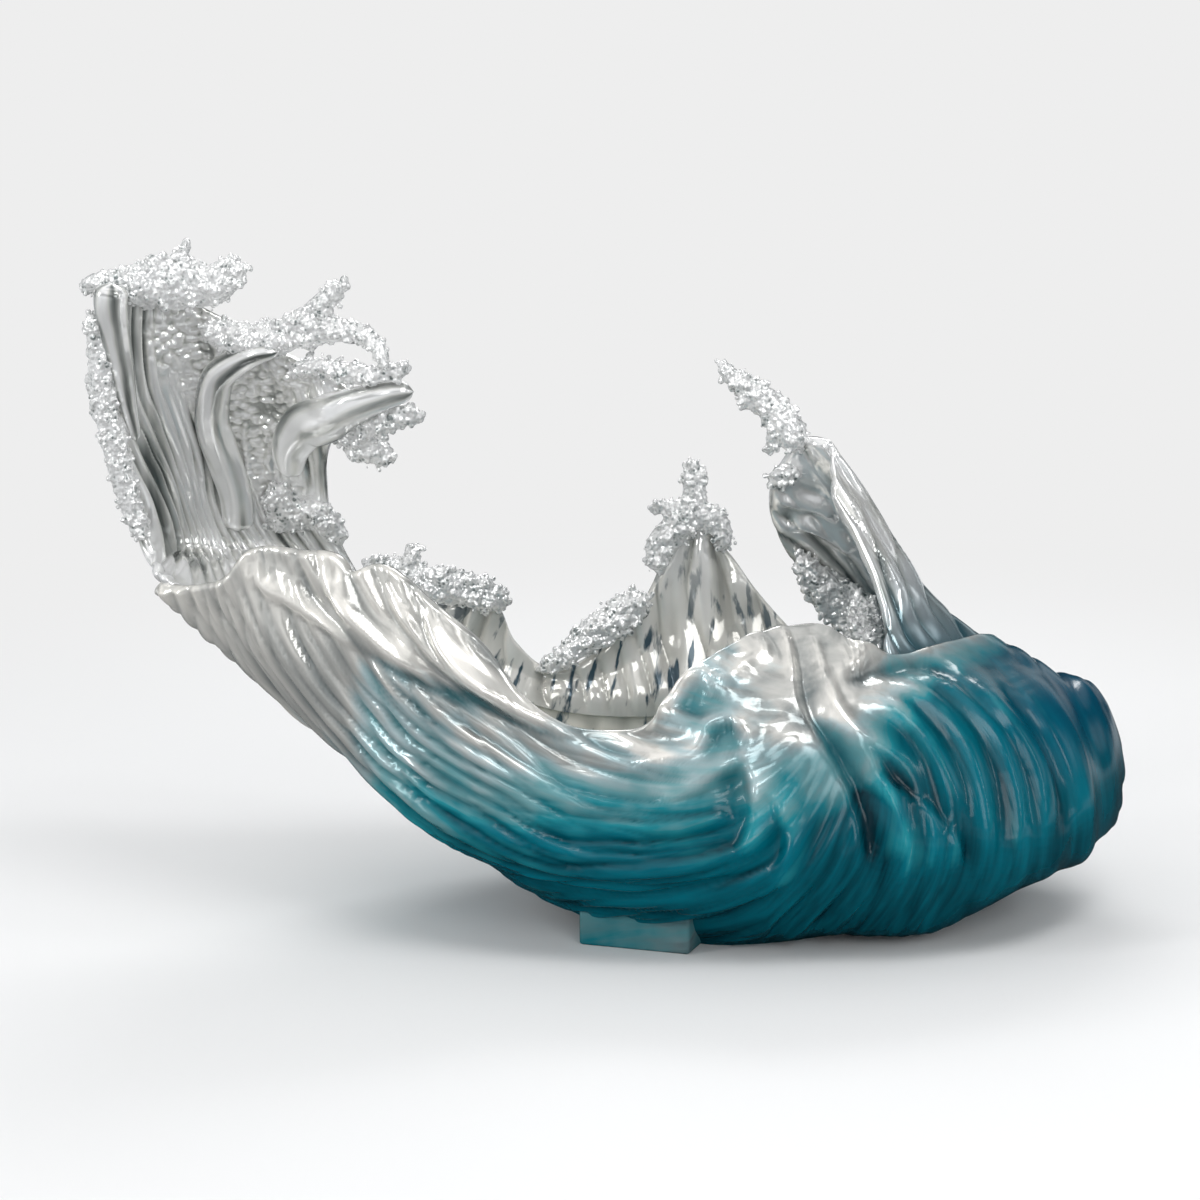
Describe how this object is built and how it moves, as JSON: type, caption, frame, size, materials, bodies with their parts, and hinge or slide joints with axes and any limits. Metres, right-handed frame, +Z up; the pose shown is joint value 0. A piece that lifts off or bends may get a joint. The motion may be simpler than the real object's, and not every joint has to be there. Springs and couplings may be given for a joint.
{
  "type": "resin wave sculpture",
  "caption": "Table sculpture of a breaking wave in cast resin: a tinted, fluted hull on a foot, with clear crests lapped inside its rim and froth along the edges.",
  "frame": {"origin": "middle of the flat on the underside of the hull, which stands on the table", "axes": "+X from the tall crest to the round end of the hull, +Y away from the side that the picture shows, +Z up"},
  "size_m": [0.4973, 0.2543, 0.3207],
  "materials": {
    "teal_resin": "cast resin tinted deep teal, fading to milky clear towards the prow, polished",
    "clear_resin": "clear cast resin, polished, with pulled flutes",
    "froth_resin": "clear resin full of small bubbles, lumpy and glossy"
  },
  "bodies": {
    "root": {"hull": "teal_resin", "foot_block": "teal_resin", "tall_crest": "clear_resin", "back_crest": "clear_resin", "horn": "clear_resin", "tall_tongue": "clear_resin", "middle_tongue": "clear_resin", "broad_tongue": "clear_resin", "left_edge_froth": "froth_resin", "crown_froth": "froth_resin", "arm_froth": "froth_resin", "tongue_lip_froth": "froth_resin", "under_lip_froth": "froth_resin", "crest_root_froth": "froth_resin", "shelf_froth": "froth_resin", "saddle_froth": "froth_resin", "peak_froth": "froth_resin", "horn_tip_froth": "froth_resin", "horn_knot_froth": "froth_resin", "horn_root_froth": "froth_resin"}
  },
  "joints": []
}
